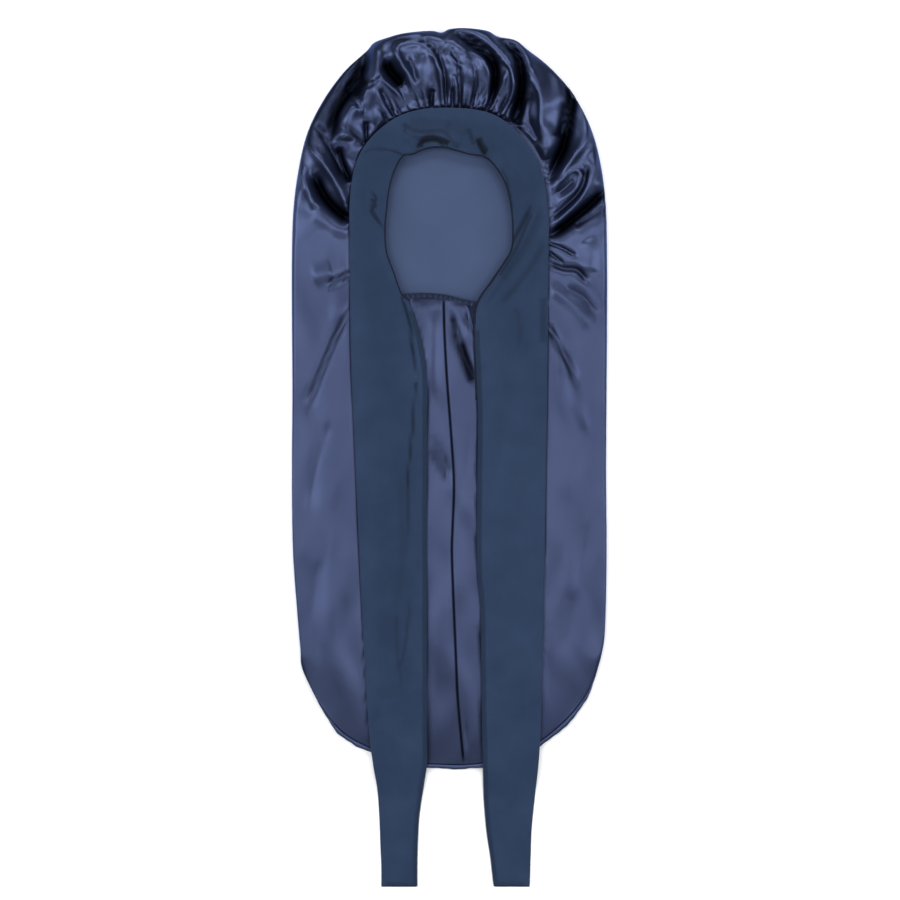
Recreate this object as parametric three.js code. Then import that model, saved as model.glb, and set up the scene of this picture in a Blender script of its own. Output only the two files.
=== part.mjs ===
// A long satin sleep bonnet with a wide stretch tie band, lying flat with its face opening up.
//
// The bag is one length of satin: it passes under the back, folds up round both sides and over the
// crown, and closes in a seam down the middle of the front and a curved seam across the bottom. Its
// top edge is gathered on to a doubled knit band, which is turned outwards over the gathers and
// whose two ends run on down the front as ties.
//
// Millimetres. X to the right seen from above, Y towards the crown, Z up from the surface below.
// The origin is on that surface, under the middle of the outline with the ties.

import * as THREE from 'three';

// cloth
const SATIN = 1.2; // wall of the satin
const KNIT = 2.4; // wall of the band, two thicknesses of knit
const CLEAR = 0.3; // left between two pieces that touch

// how the bag lies
const TUCK_AT_NECK = 10; // height of the satin under the ties
const TUCK_AT_CROWN = 13; // height of the satin under the top of the band
const SIDE_ROLL = 9; // plan width of the rounding at a side fold
const CROWN_ROLL = 30; // plan width of the rounding at the crown
const FOOT = 4; // plan width of the flat edge below that rounding
const TURN_ROWS = 2; // facets from there up to the outline
const ROLL_ROWS = 3; // facets from the outline to the top of the rounding
const FREE_ROWS = 6; // facets from there to the band
const TUCK_ROWS = 2; // facets from there, under the band, to the opening
const SEAM_SLIT = 0.4; // between the two edges that meet in the centre seam

// the band over the face opening, a rounded arch on two straight sides
const ARCH = { half: 99.5, rise: 101, base: 250, power: 2.4 };
const PUFF_FROM = 2; // outside the edge of the band, where the satin starts to rise
const PUFF_STEP = 3; // its first quick rise there, where the gathers are sewn
const PUFF_TO = 42; // and where it reaches the full height of the puff

// gathers of the satin along the arch
const GATHER = { count: 17, from: 0.2 * Math.PI, to: 0.8 * Math.PI, height: 2.6, reach: 46 };

// small rolled edges
const BOTTOM_ROLL = { width: 5.6, height: 4.6, sides: 8 };
const NECK_ROLL = { width: 4.6, height: 3, sides: 8 };

// Sections of the bag, clockwise from the centre seam. Each runs in plan from the outline to the
// edge of the face opening. up: height of the outline. loft: height of the puff between the outline
// and the band. columns: facets on to the next section.
const SECTIONS = [
  { edgeX: 14, edgeY: -306, rimX: -6, rimY: 161, up: 3, loft: 10, columns: 2 },
  { edgeX: -50, edgeY: -300, rimX: -28, rimY: 163, up: 3, loft: 10, columns: 2 },
  { edgeX: -107, edgeY: -274, rimX: -45, rimY: 164, up: 3, loft: 10, columns: 2 },
  { edgeX: -130, edgeY: -245, rimX: -49, rimY: 166, up: 3, loft: 10, columns: 2 },
  { edgeX: -148, edgeY: -208, rimX: -52, rimY: 172, up: 4, loft: 10, columns: 2 },
  { edgeX: -154, edgeY: -140, rimX: -56, rimY: 183, up: 5, loft: 11, columns: 2 },
  { edgeX: -158, edgeY: -11, rimX: -62, rimY: 202, up: 5, loft: 11, columns: 3 },
  { edgeX: -158, edgeY: 110, rimX: -65, rimY: 219, up: 5, loft: 12, columns: 4 },
  { edgeX: -158, edgeY: 199, rimX: -65, rimY: 235, up: 6, loft: 14, columns: 4 },
  { edgeX: -157, edgeY: 247, rimX: -65, rimY: 247, up: 8, loft: 16, columns: 4 },
  { edgeX: -152, edgeY: 287, rimX: -63, rimY: 259, up: 10, loft: 19, columns: 5 },
  { edgeX: -143, edgeY: 325, rimX: -62, rimY: 270, up: 12, loft: 21, columns: 5 },
  { edgeX: -127, edgeY: 359, rimX: -59, rimY: 282, up: 13, loft: 23, columns: 5 },
  { edgeX: -106, edgeY: 387, rimX: -53, rimY: 294, up: 14, loft: 24, columns: 6 },
  { edgeX: -82, edgeY: 409, rimX: -47, rimY: 303, up: 14, loft: 26, columns: 6 },
  { edgeX: -55, edgeY: 423, rimX: -34, rimY: 307, up: 14, loft: 27, columns: 6 },
  { edgeX: -18, edgeY: 427, rimX: -18, rimY: 312, up: 14, loft: 27, columns: 6 },
  { edgeX: 14, edgeY: 430, rimX: 5, rimY: 310, up: 14, loft: 27, columns: 6 },
  { edgeX: 40, edgeY: 426, rimX: 24, rimY: 305, up: 14, loft: 27, columns: 6 },
  { edgeX: 70, edgeY: 415, rimX: 38, rimY: 300, up: 14, loft: 26, columns: 6 },
  { edgeX: 99, edgeY: 391, rimX: 47, rimY: 292, up: 14, loft: 25, columns: 6 },
  { edgeX: 122, edgeY: 366, rimX: 54, rimY: 281, up: 13, loft: 23, columns: 5 },
  { edgeX: 139, edgeY: 335, rimX: 58, rimY: 270, up: 12, loft: 21, columns: 5 },
  { edgeX: 150, edgeY: 299, rimX: 61, rimY: 258, up: 10, loft: 19, columns: 5 },
  { edgeX: 156, edgeY: 254, rimX: 63, rimY: 243, up: 8, loft: 16, columns: 4 },
  { edgeX: 158, edgeY: 199, rimX: 63, rimY: 228, up: 6, loft: 14, columns: 4 },
  { edgeX: 158, edgeY: 110, rimX: 61, rimY: 206, up: 5, loft: 12, columns: 4 },
  { edgeX: 157, edgeY: -11, rimX: 51, rimY: 189, up: 5, loft: 11, columns: 3 },
  { edgeX: 156, edgeY: -140, rimX: 40, rimY: 173, up: 5, loft: 11, columns: 2 },
  { edgeX: 154, edgeY: -191, rimX: 32, rimY: 162, up: 4, loft: 10, columns: 2 },
  { edgeX: 141, edgeY: -229, rimX: 26, rimY: 156, up: 3, loft: 10, columns: 2 },
  { edgeX: 119, edgeY: -258, rimX: 20, rimY: 156, up: 3, loft: 10, columns: 2 },
  { edgeX: 91, edgeY: -282, rimX: 14, rimY: 158, up: 3, loft: 10, columns: 2 },
  { edgeX: 45, edgeY: -302, rimX: 3, rimY: 160, up: 3, loft: 10, columns: 2 },
  { edgeX: 14, edgeY: -306, rimX: -6, rimY: 161, up: 3, loft: 10, columns: 0 },
];
const LEFT_CORNER = 4; // places in the table where the side folds end and the bottom seam begins
const RIGHT_CORNER = 29.5;
const NECK_LEFT = 2; // and between which the neck edge shows
const NECK_RIGHT = 30;

// Main folds of the satin: a fold runs through three points of the plan. A negative height is a
// valley. half: half width across.
const FOLDS = [
  { name: 'left crown ridge', from: [-142, 318], by: [-126, 292], to: [-103, 254], height: 4, half: 8 },
  { name: 'left crown valley', from: [-128, 345], by: [-118, 312], to: [-110, 270], height: -6, half: 10 },
  { name: 'left side ridge', from: [-150, 290], by: [-141, 268], to: [-130, 249], height: 2.5, half: 6 },
  { name: 'left side valley', from: [-146, 268], by: [-128, 248], to: [-101, 238], height: -4, half: 9 },
  { name: 'left puff', from: [-112, 350], by: [-100, 328], to: [-104, 290], height: 4, half: 12 },
  { name: 'left slot', from: [-98, 385], by: [-92, 350], to: [-84, 322], height: -6, half: 7 },
  { name: 'left leaf', from: [-75, 412], by: [-76, 375], to: [-72, 330], height: 4.5, half: 8 },
  { name: 'hollow', from: [-56, 420], by: [-58, 392], to: [-54, 376], height: -8, half: 9 },
  { name: 'pillow', from: [-40, 366], by: [-36, 396], to: [-12, 408], height: 3, half: 10 },
  { name: 'pillow side', from: [-12, 408], by: [-12, 385], to: [-8, 358], height: 2.5, half: 7 },
  { name: 'top crease', from: [-50, 418], by: [-20, 414], to: [6, 404], height: -3, half: 6 },
  { name: 'middle lobe', from: [14, 355], by: [22, 380], to: [34, 404], height: 3, half: 12 },
  { name: 'right valley', from: [10, 424], by: [42, 404], to: [42, 355], height: -7, half: 7 },
  { name: 'right crest', from: [40, 422], by: [64, 382], to: [54, 340], height: 4, half: 6 },
  { name: 'right slot', from: [60, 410], by: [72, 375], to: [66, 334], height: -7, half: 7 },
  { name: 'right leaf', from: [76, 410], by: [90, 360], to: [100, 292], height: 4, half: 10 },
  { name: 'right hollow', from: [124, 360], by: [120, 328], to: [104, 278], height: -8, half: 9 },
  { name: 'right shoulder', from: [130, 350], by: [134, 318], to: [102, 268], height: 2.5, half: 6 },
  { name: 'right sweep', from: [142, 308], by: [132, 262], to: [102, 231], height: 4.5, half: 7 },
  { name: 'right dark fold', from: [152, 266], by: [132, 242], to: [104, 226], height: -5, half: 8 },
  { name: 'right side puff', from: [102, 200], by: [124, 205], to: [146, 214], height: 2.5, half: 12 },
  { name: 'left side crease', from: [-101, 147], by: [-124, 95], to: [-143, 52], height: -2.5, half: 7 },
  { name: 'right side crease', from: [99, 134], by: [115, 100], to: [136, 30], height: -2.5, half: 7 },
];

// The band, from the end of the left tie round the opening to the end of the right one: its folded
// outer edge and its sewn inner edge in plan. columns: facets on to the next row.
const BAND = [
  { outX: -69, outY: -430, inX: -33, inY: -429, columns: 2 },
  { outX: -70, outY: -391, inX: -33, inY: -391, columns: 2 },
  { outX: -72, outY: -345, inX: -30, inY: -345, columns: 3 },
  { outX: -75, outY: -318, inX: -25, inY: -318, columns: 3 },
  { outX: -79, outY: -285, inX: -23, inY: -285, columns: 2 },
  { outX: -86, outY: -190, inX: -23, inY: -190, columns: 2 },
  { outX: -93, outY: -60, inX: -22, inY: -60, columns: 2 },
  { outX: -97, outY: 50, inX: -23, inY: 50, columns: 2 },
  { outX: -99, outY: 130, inX: -26, inY: 106, columns: 2 },
  { outX: -99.5, outY: 190, inX: -40, inY: 156, columns: 3 },
  { outX: -99.5, outY: 240, inX: -63, inY: 200, columns: 3 },
  { outX: -98, outY: 275, inX: -66, inY: 236, columns: 3 },
  { outX: -86, outY: 311, inX: -62, inY: 270, columns: 4 },
  { outX: -63, outY: 337, inX: -52, inY: 297, columns: 4 },
  { outX: -35, outY: 348, inX: -34, inY: 305, columns: 4 },
  { outX: 0, outY: 351, inX: -4, inY: 310, columns: 4 },
  { outX: 37, outY: 348, inX: 26, inY: 303, columns: 4 },
  { outX: 66, outY: 334, inX: 44, inY: 294, columns: 4 },
  { outX: 86, outY: 310, inX: 56, inY: 277, columns: 4 },
  { outX: 97, outY: 278, inX: 63, inY: 245, columns: 3 },
  { outX: 99.5, outY: 238, inX: 63, inY: 214, columns: 3 },
  { outX: 99, outY: 190, inX: 48, inY: 184, columns: 3 },
  { outX: 98, outY: 140, inX: 29, inY: 154, columns: 3 },
  { outX: 98, outY: 80, inX: 25, inY: 100, columns: 2 },
  { outX: 97, outY: 0, inX: 28, inY: 0, columns: 2 },
  { outX: 94, outY: -120, inX: 23, inY: -120, columns: 2 },
  { outX: 90, outY: -270, inX: 29, inY: -270, columns: 3 },
  { outX: 86, outY: -318, inX: 33, inY: -318, columns: 3 },
  { outX: 83, outY: -345, inX: 34, inY: -345, columns: 2 },
  { outX: 81, outY: -391, inX: 39, inY: -391, columns: 2 },
  { outX: 80, outY: -430, inX: 44, inY: -429, columns: 0 },
];
const BAND_ROWS = 5; // facets across the band
const TIE_DROP = { from: -298, to: -345 }; // where a tie comes down from the bag to the surface
const LEFT_END = 4; // rows of the table where the free ends of the ties are split off
const RIGHT_END = 26;

// Ruffles of the band, which is gathered along its sewn edge: where each stands and how high.
const RUFFLES = [
  { x: -26, y: 322, height: 5, half: 9 },
  { x: 4, y: 320, height: 3, half: 8 },
  { x: 30, y: 318, height: 4.5, half: 8 },
  { x: 60, y: 284, height: 3, half: 8 },
  { x: -60, y: 300, height: 3, half: 9 },
  { x: -78, y: 262, height: 2.5, half: 8 },
  { x: 74, y: 222, height: 3, half: 10 },
];

const { clamp, lerp, smoothstep } = THREE.MathUtils;

// A smooth curve through the rows of a table, as a function from a place in it (row 2.5 is midway
// between rows 2 and 3) to a row of the same columns.
function smoothTable(rows) {
  const columns = Object.keys(rows[0]);
  const places = rows.map((row, i) => i);
  const values = rows.flatMap((row) => columns.map((name) => row[name]));
  const curve = new THREE.CubicInterpolant(places, new Float64Array(values), columns.length);
  return (place) => {
    const found = curve.evaluate(place);
    return Object.fromEntries(columns.map((name, i) => [name, found[i]]));
  };
}

// The places in a table where the columns of facets stand, from each row's count.
function placesAlong(rows) {
  const places = rows.flatMap((row, i) =>
    Array.from({ length: row.columns }, (_, k) => i + k / row.columns),
  );
  return [...places, rows.length - 1];
}

const sectionAt = smoothTable(SECTIONS);
const bandAt = smoothTable(BAND);

// How high the satin lies under the band and the ties.
function tuckHeight(y) {
  return lerp(TUCK_AT_NECK, TUCK_AT_CROWN, smoothstep(y, 180, 320));
}

// Distance in plan outside the folded edge of the band, negative under it.
function outsideArch(x, y) {
  const across = Math.abs(x) / ARCH.half;
  const along = Math.max(y - ARCH.base, 0) / ARCH.rise;
  return ARCH.half * ((across ** ARCH.power + along ** ARCH.power) ** (1 / ARCH.power) - 1);
}

// Each fold as a short run of points, found once.
const foldLines = FOLDS.map(({ from, by, to, height, half }) => {
  const start = new THREE.Vector2(...from);
  const end = new THREE.Vector2(...to);
  const pull = new THREE.Vector2(...by).multiplyScalar(2).sub(start.clone().add(end).multiplyScalar(0.5));
  return { points: new THREE.QuadraticBezierCurve(start, pull, end).getPoints(12), height, half };
});

// The folds' part of the height at a point of the plan: each is a rounded ridge or valley along
// its line, which fades out past both ends.
function foldHeight(x, y) {
  const here = new THREE.Vector2(x, y);
  return foldLines.reduce((sum, { points, height, half }) => {
    const away = Math.min(...points.map((p) => p.distanceTo(here)));
    return sum + height * Math.exp(-((away / half) ** 2));
  }, 0);
}

// Small even gathers where the satin comes out from under the arch.
function gatherHeight(x, y, outside) {
  const turn = Math.atan2(y - ARCH.base, x);
  const share = (turn - GATHER.from) / (GATHER.to - GATHER.from);
  if (share < 0 || share > 1) return 0;
  const ripple = Math.abs(Math.sin(Math.PI * GATHER.count * share)) - 0.5;
  const rise = smoothstep(outside, PUFF_FROM, 8) * (1 - smoothstep(outside, 10, GATHER.reach));
  return GATHER.height * ripple * rise * Math.sin(Math.PI * share) ** 0.3;
}

// Top of the front of the bag, away from the rounding at its outline.
function frontHeight(x, y, loft) {
  const outside = outsideArch(x, y);
  const step = PUFF_STEP * smoothstep(outside, PUFF_FROM, 7) * smoothstep(loft, 12, 20);
  const puff = lerp(tuckHeight(y) + step, loft, smoothstep(outside, PUFF_FROM, PUFF_TO));
  return puff + foldHeight(x, y) * smoothstep(outside, PUFF_FROM, 10) + gatherHeight(x, y, outside);
}

// The share of the way from the outline to the opening at which a section meets the band.
function shareAtBand(edge, rim) {
  if (outsideArch(edge.x, edge.y) < PUFF_FROM) return 0.7;
  let free = 0;
  let covered = 1;
  for (let i = 0; i < 20; i++) {
    const middle = (free + covered) / 2;
    const at = edge.clone().lerp(rim, middle);
    if (outsideArch(at.x, at.y) > PUFF_FROM) free = middle;
    else covered = middle;
  }
  return covered;
}

// Plan width of the rounding between the front and the back at the outline.
function rollWidth(up) {
  return lerp(SIDE_ROLL, CROWN_ROLL, smoothstep(up, 4, 13));
}

// Cloth from a grid of points on its outer face, grid[column][row], with the columns clockwise and
// the rows inward: each point gets its partner on the inner face, one thickness behind it. ring: the
// last column lies beside the first.
function clothFrom(grid, thickness, ring = false) {
  const columns = grid.length;
  const columnAt = (i) => grid[ring ? (i + columns) % columns : clamp(i, 0, columns - 1)];
  return grid.map((line, i) =>
    line.map((face, j) => {
      const along = columnAt(i + 1)[j].clone().sub(columnAt(i - 1)[j]);
      const across = line[Math.min(j + 1, line.length - 1)].clone().sub(line[Math.max(j - 1, 0)]);
      const behind = face.clone().addScaledVector(across.cross(along).normalize(), -thickness);
      return { face, behind };
    }),
  );
}

// A place of the cloth moved by a step, on both faces.
function moved({ face, behind }, step) {
  return { face: face.clone().add(step), behind: behind.clone().add(step) };
}

// A place on the edge of a cut, drawn back from it towards the next place.
function drawnBack(place, next) {
  return moved(place, next.face.clone().sub(place.face).setLength(CLEAR / 2));
}

// A closed solid from cloth: its two faces and the narrow walls that close its edges.
function clothWall(cloth, ring = false) {
  const columns = cloth.length;
  const rows = cloth[0].length;
  const points = [...cloth.flat().map((p) => p.face), ...cloth.flat().map((p) => p.behind)];
  const outerAt = (i, j) => (i % columns) * rows + j;
  const innerAt = (i, j) => columns * rows + outerAt(i, j);
  const faces = [];
  const quad = (a, b, c, d) => faces.push(a, b, c, a, c, d);
  for (let i = 0; i < (ring ? columns : columns - 1); i++) {
    for (let j = 0; j + 1 < rows; j++) {
      quad(outerAt(i, j), outerAt(i, j + 1), outerAt(i + 1, j + 1), outerAt(i + 1, j));
      quad(innerAt(i, j), innerAt(i + 1, j), innerAt(i + 1, j + 1), innerAt(i, j + 1));
    }
    quad(outerAt(i, 0), outerAt(i + 1, 0), innerAt(i + 1, 0), innerAt(i, 0));
    quad(outerAt(i, rows - 1), innerAt(i, rows - 1), innerAt(i + 1, rows - 1), outerAt(i + 1, rows - 1));
  }
  for (let j = 0; j + 1 < rows && !ring; j++) {
    const last = columns - 1;
    quad(outerAt(0, j), innerAt(0, j), innerAt(0, j + 1), outerAt(0, j + 1));
    quad(outerAt(last, j), outerAt(last, j + 1), innerAt(last, j + 1), innerAt(last, j));
  }
  const geometry = new THREE.BufferGeometry().setFromPoints(points);
  geometry.setIndex(faces);
  geometry.computeVertexNormals();
  return geometry;
}

// The satin round the whole bag, as a ring of columns at places in the table of sections: from the
// flat edge underneath, round the outline and over the puffs to the edge of the opening.
function bagCloth(places) {
  const grid = places.map((place) => {
    const { edgeX, edgeY, rimX, rimY, up, loft } = sectionAt(place);
    const edge = new THREE.Vector2(edgeX, edgeY);
    const rim = new THREE.Vector2(rimX, rimY);
    const width = edge.distanceTo(rim);
    const roll = rollWidth(up) / width;
    const band = shareAtBand(edge, rim);
    const pointAt = (share, z) => {
      const at = edge.clone().lerp(rim, share);
      return new THREE.Vector3(at.x, at.y, z);
    };
    const under = Array.from({ length: TURN_ROWS }, (_, j) => {
      const turn = (Math.PI / 2) * (1 - j / TURN_ROWS);
      return pointAt(roll * (1 - Math.cos(turn)), up * (1 - Math.sin(turn)));
    });
    const over = Array.from({ length: ROLL_ROWS + FREE_ROWS + TUCK_ROWS + 1 }, (_, j) => {
      const turn = (Math.PI / 2) * Math.min(j / ROLL_ROWS, 1);
      const free = (j - ROLL_ROWS) / FREE_ROWS;
      const tucked = (j - ROLL_ROWS - FREE_ROWS) / TUCK_ROWS;
      const flatter = free < 1 ? lerp(roll, band, free) : lerp(band, 1, tucked);
      const share = free < 0 ? roll * (1 - Math.cos(turn)) : flatter;
      const { x, y } = pointAt(share, 0);
      return pointAt(share, lerp(up, frontHeight(x, y, loft), Math.sin(turn)));
    });
    return [pointAt(roll + FOOT / width, 0), ...under, ...over];
  });
  return clothFrom(grid, SATIN, true);
}

const bag = bagCloth(placesAlong(SECTIONS).slice(0, -1));
const foldTop = 1 + TURN_ROWS + ROLL_ROWS; // row at the top of the rounding

// The front of the bag: from the rounding at its outline over the puffs to the edge of the opening,
// all the way round from one side of the centre seam to the other.
function bagFront() {
  const lines = bag.map((line) => {
    return [drawnBack(line[foldTop], line[foldTop + 1]), ...line.slice(foldTop + 1)];
  });
  const aside = new THREE.Vector3(SEAM_SLIT / 2, 0, 0);
  const rightOfSeam = lines[0].map((place) => moved(place, aside));
  const leftOfSeam = lines[0].map((place) => moved(place, aside.clone().negate()));
  return clothWall([leftOfSeam, ...lines.slice(1), rightOfSeam]);
}

// The rounded edge of the bag, where the satin turns up from the back to the front.
function bagFold() {
  const lines = bag.map((line) => {
    return [...line.slice(0, foldTop), drawnBack(line[foldTop], line[foldTop - 1])];
  });
  return clothWall(lines, true);
}

// The back of the bag, flat on the surface below.
function bagBack() {
  const outline = bag.filter((_, i) => i % 2 === 0).map(([foot, next]) => {
    const inward = foot.face.clone().sub(next.face).setLength(CLEAR);
    return new THREE.Vector2(foot.face.x + inward.x, foot.face.y + inward.y);
  });
  return new THREE.ExtrudeGeometry(new THREE.Shape(outline), { depth: SATIN, bevelEnabled: false });
}

// A soft roll of cloth with an oval section, along a run of points.
function roll(line, { width, height, sides }) {
  const oval = new THREE.Shape().absellipse(0, 0, height / 2, width / 2, 0, 2 * Math.PI);
  return new THREE.ExtrudeGeometry(oval, {
    extrudePath: new THREE.CatmullRomCurve3(line),
    curveSegments: sides / 2,
    steps: 2 * line.length,
    bevelEnabled: false,
  });
}

// The places of the columns from one section of the right side, past the centre seam, to one of the
// left side.
function placesPastSeam(fromRight, toLeft) {
  const places = placesAlong(SECTIONS);
  const right = places.filter((place) => place >= fromRight);
  const left = places.filter((place) => place > 0 && place <= toLeft);
  return [...right, ...left];
}

// The turned seam that closes the bottom of the bag, from corner to corner past the centre.
function bottomSeam() {
  const edge = placesPastSeam(RIGHT_CORNER, LEFT_CORNER).map(sectionAt);
  const line = edge.map(({ edgeX, edgeY }, i) => {
    const before = edge[Math.max(i - 1, 0)];
    const after = edge[Math.min(i + 1, edge.length - 1)];
    const out = new THREE.Vector3(before.edgeY - after.edgeY, after.edgeX - before.edgeX, 0).normalize();
    const away = BOTTOM_ROLL.width / 2 + CLEAR;
    return new THREE.Vector3(edgeX, edgeY, BOTTOM_ROLL.height / 2).addScaledVector(out, away);
  });
  return roll(line, BOTTOM_ROLL);
}

// The overlocked edge of the satin across the bottom of the face opening.
function neckEdge() {
  const line = placesPastSeam(NECK_RIGHT, NECK_LEFT).map(sectionAt).map(({ rimX, rimY }) => {
    const z = tuckHeight(rimY) - NECK_ROLL.height / 2;
    return new THREE.Vector3(rimX, rimY + NECK_ROLL.width / 2 + CLEAR, z);
  });
  return roll(line, NECK_ROLL);
}

// Underside of the band: on the satin, and down on to the surface past the bottom of the bag.
function bandHeight(x, y) {
  const onBag = smoothstep(y, TIE_DROP.to, TIE_DROP.from);
  const ruffles = RUFFLES.reduce(
    (sum, r) => sum + r.height * Math.exp(-(((x - r.x) ** 2 + (y - r.y) ** 2) / r.half ** 2)),
    0,
  );
  return (tuckHeight(y) + CLEAR) * onBag + ruffles;
}

// The band with its two ties, one strip of doubled knit.
function bandCloth() {
  const grid = placesAlong(BAND).map((place) => {
    const { outX, outY, inX, inY } = bandAt(place);
    return Array.from({ length: BAND_ROWS + 1 }, (_, j) => {
      const across = j / BAND_ROWS;
      const x = lerp(outX, inX, across);
      const y = lerp(outY, inY, across);
      return new THREE.Vector3(x, y, bandHeight(x, y) + KNIT);
    });
  });
  return clothFrom(grid, KNIT);
}

// The stretch of the band between two rows of its table, cut where it goes on past them.
function bandStretch(fromRow, toRow) {
  const places = placesAlong(BAND);
  const first = places.indexOf(fromRow);
  const last = places.indexOf(toRow);
  const cloth = bandCloth();
  const cutAt = (i, next) => cloth[i].map((place, j) => drawnBack(place, cloth[next][j]));
  const start = first === 0 ? cloth[0] : cutAt(first, first + 1);
  const end = last === cloth.length - 1 ? cloth[last] : cutAt(last, last - 1);
  return clothWall([start, ...cloth.slice(first + 1, last), end]);
}

const satin = new THREE.MeshStandardMaterial({ color: 0x3f4a78, roughness: 0.35, metalness: 0.1 });
const knit = new THREE.MeshStandardMaterial({ color: 0x32425c, roughness: 0.85, metalness: 0 });
const thread = new THREE.MeshStandardMaterial({ color: 0x1c2740, roughness: 0.8, metalness: 0 });

const bonnet = new THREE.Group();
const pieces = [
  ['bag_back', bagBack(), satin],
  ['bag_fold', bagFold(), satin],
  ['bag_front', bagFront(), satin],
  ['bottom_seam', bottomSeam(), satin],
  ['neck_edge', neckEdge(), thread],
  ['tie_band', bandStretch(LEFT_END, RIGHT_END), knit],
  ['tie_end_left', bandStretch(0, LEFT_END), knit],
  ['tie_end_right', bandStretch(RIGHT_END, BAND.length - 1), knit],
];
for (const [name, geometry, material] of pieces) {
  const mesh = new THREE.Mesh(geometry, material);
  mesh.name = name;
  bonnet.add(mesh);
}

export default bonnet;
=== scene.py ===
# %% [markdown]
# # A satin sleep bonnet, laid flat
#
# An extra-long bonnet for braids: a pouch of navy satin whose top edge is gathered on to a wide
# stretch band. The band is turned outwards over the gathers, and its two ends run on as ties.
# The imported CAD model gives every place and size. This lesson dresses it in cloth.

# %% Load the frame
import math

import bmesh
import bpy
import numpy as np
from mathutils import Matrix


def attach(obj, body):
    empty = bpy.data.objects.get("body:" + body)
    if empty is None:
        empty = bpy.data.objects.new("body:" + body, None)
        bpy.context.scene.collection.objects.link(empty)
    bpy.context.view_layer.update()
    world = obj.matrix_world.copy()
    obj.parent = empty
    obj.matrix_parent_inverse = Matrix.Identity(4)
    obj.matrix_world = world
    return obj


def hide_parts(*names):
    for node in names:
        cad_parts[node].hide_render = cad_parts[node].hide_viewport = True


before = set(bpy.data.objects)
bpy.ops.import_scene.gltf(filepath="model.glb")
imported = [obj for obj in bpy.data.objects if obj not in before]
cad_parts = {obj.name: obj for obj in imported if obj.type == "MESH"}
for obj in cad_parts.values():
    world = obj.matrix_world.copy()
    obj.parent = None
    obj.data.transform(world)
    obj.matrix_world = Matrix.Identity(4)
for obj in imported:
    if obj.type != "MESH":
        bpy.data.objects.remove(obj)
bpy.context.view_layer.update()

# %% [markdown]
# ## A chart to draw on
#
# Gathers and folds are easiest to place on a chart, as a pattern cutter does. The chart is a square
# of 900 mm laid over the bonnet, measured across from its left edge and down from its top edge.

# %% From the chart to the frame
MM = 0.001
CHART_ORIGIN = np.array([450.0, 459.0])  # where the frame's origin lies on the chart


def on_frame(points):
    """Chart points to frame millimetres: x is across less 450, and y is 459 less down."""
    return (np.asarray(points, float) - CHART_ORIGIN) * [1, -1]


def smoothstep(x, low, high):
    """0 below low, 1 above high, and 3t^2 - 2t^3 between, with t the share of the way."""
    t = np.clip((x - low) / (high - low), 0, 1)
    return t * t * (3 - 2 * t)


def through(rows, places):
    """A Catmull-Rom curve through the rows, at places counted in rows: each stretch is the cubic
    that leaves and reaches its rows along half the step between their neighbours."""
    rows = np.asarray(rows, float)
    places = np.asarray(places, float)
    k = np.clip(places.astype(int), 0, len(rows) - 2)
    t = (places - k)[:, None]
    before, here, there = rows[np.maximum(k - 1, 0)], rows[k], rows[k + 1]
    after = rows[np.minimum(k + 2, len(rows) - 1)]
    leave, reach = (there - before) / 2, (after - here) / 2
    return (
        here * (1 - 3 * t**2 + 2 * t**3)
        + there * (3 * t**2 - 2 * t**3)
        + leave * (t - 2 * t**2 + t**3)
        + reach * (t**3 - t**2)
    )


def ripple(x, y, waves):
    """A gentle unevenness: the sum of a few crossed sine waves, each (length across, length along,
    phase, height) in millimetres, so it is the same in every run."""
    total = 0
    for across, along, phase, height in waves:
        bend = 1.7 * np.sin(y * 2 * np.pi / along + 2.3 * phase)
        total = total + height * np.sin(x * 2 * np.pi / across + phase + bend)
    return total


def unit(vectors):
    """Rows of vectors, each divided by its length."""
    return vectors / np.linalg.norm(vectors, axis=1)[:, None]


def outward(line):
    """Unit directions square to a plan line, on its left."""
    step = np.gradient(line, axis=0)
    return unit(np.stack([-step[:, 1], step[:, 0]], -1))


# %% [markdown]
# ## Meshes from grids
#
# Every surface here is a grid of points worked out with numpy. One helper turns a grid into faces
# and another into a mesh, so the cells below only say where the cloth lies.

# %% Grid to mesh
def grid_faces(columns, rows, ring=False, tube=False):
    """Quads of a grid numbered column by column; ring joins the last column to the first, and tube
    joins the last row to the first."""
    i = np.arange(columns if ring else columns - 1)[:, None]
    j = np.arange(rows if tube else rows - 1)[None, :]
    i2, j2 = (i + 1) % columns, (j + 1) % rows
    return np.stack([i * rows + j, i * rows + j2, i2 * rows + j2, i2 * rows + j], -1).reshape(-1, 4)


def cloth_mesh(name, points, faces, uv=None, materials=(), painted_shade=None):
    """A smooth-shaded piece from points in millimetres, with an optional UV pair for each point, and
    an optional painted shade from 0 to 1, which darkens the colour as folds would shut light out."""
    mesh = bpy.data.meshes.new(name)
    mesh.from_pydata((np.asarray(points).reshape(-1, 3) * MM).tolist(), [], faces.tolist())
    if uv is not None:
        corners = np.empty(len(mesh.loops), int)
        mesh.loops.foreach_get("vertex_index", corners)
        layer = mesh.uv_layers.new(name="cloth")
        layer.data.foreach_set("uv", np.asarray(uv).reshape(-1, 2)[corners].astype(np.float32).ravel())
    if painted_shade is not None:
        shut = mesh.attributes.new("painted_shade", "FLOAT", "POINT")
        shut.data.foreach_set("value", np.asarray(painted_shade, np.float32).ravel())
    mesh.polygons.foreach_set("use_smooth", np.ones(len(mesh.polygons), bool))
    for material in materials:
        mesh.materials.append(material)
    piece = bpy.data.objects.new(name, mesh)
    bpy.context.scene.collection.objects.link(piece)
    print(f"{name}: {len(mesh.vertices)} points, {len(mesh.polygons)} faces")
    return piece


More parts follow.
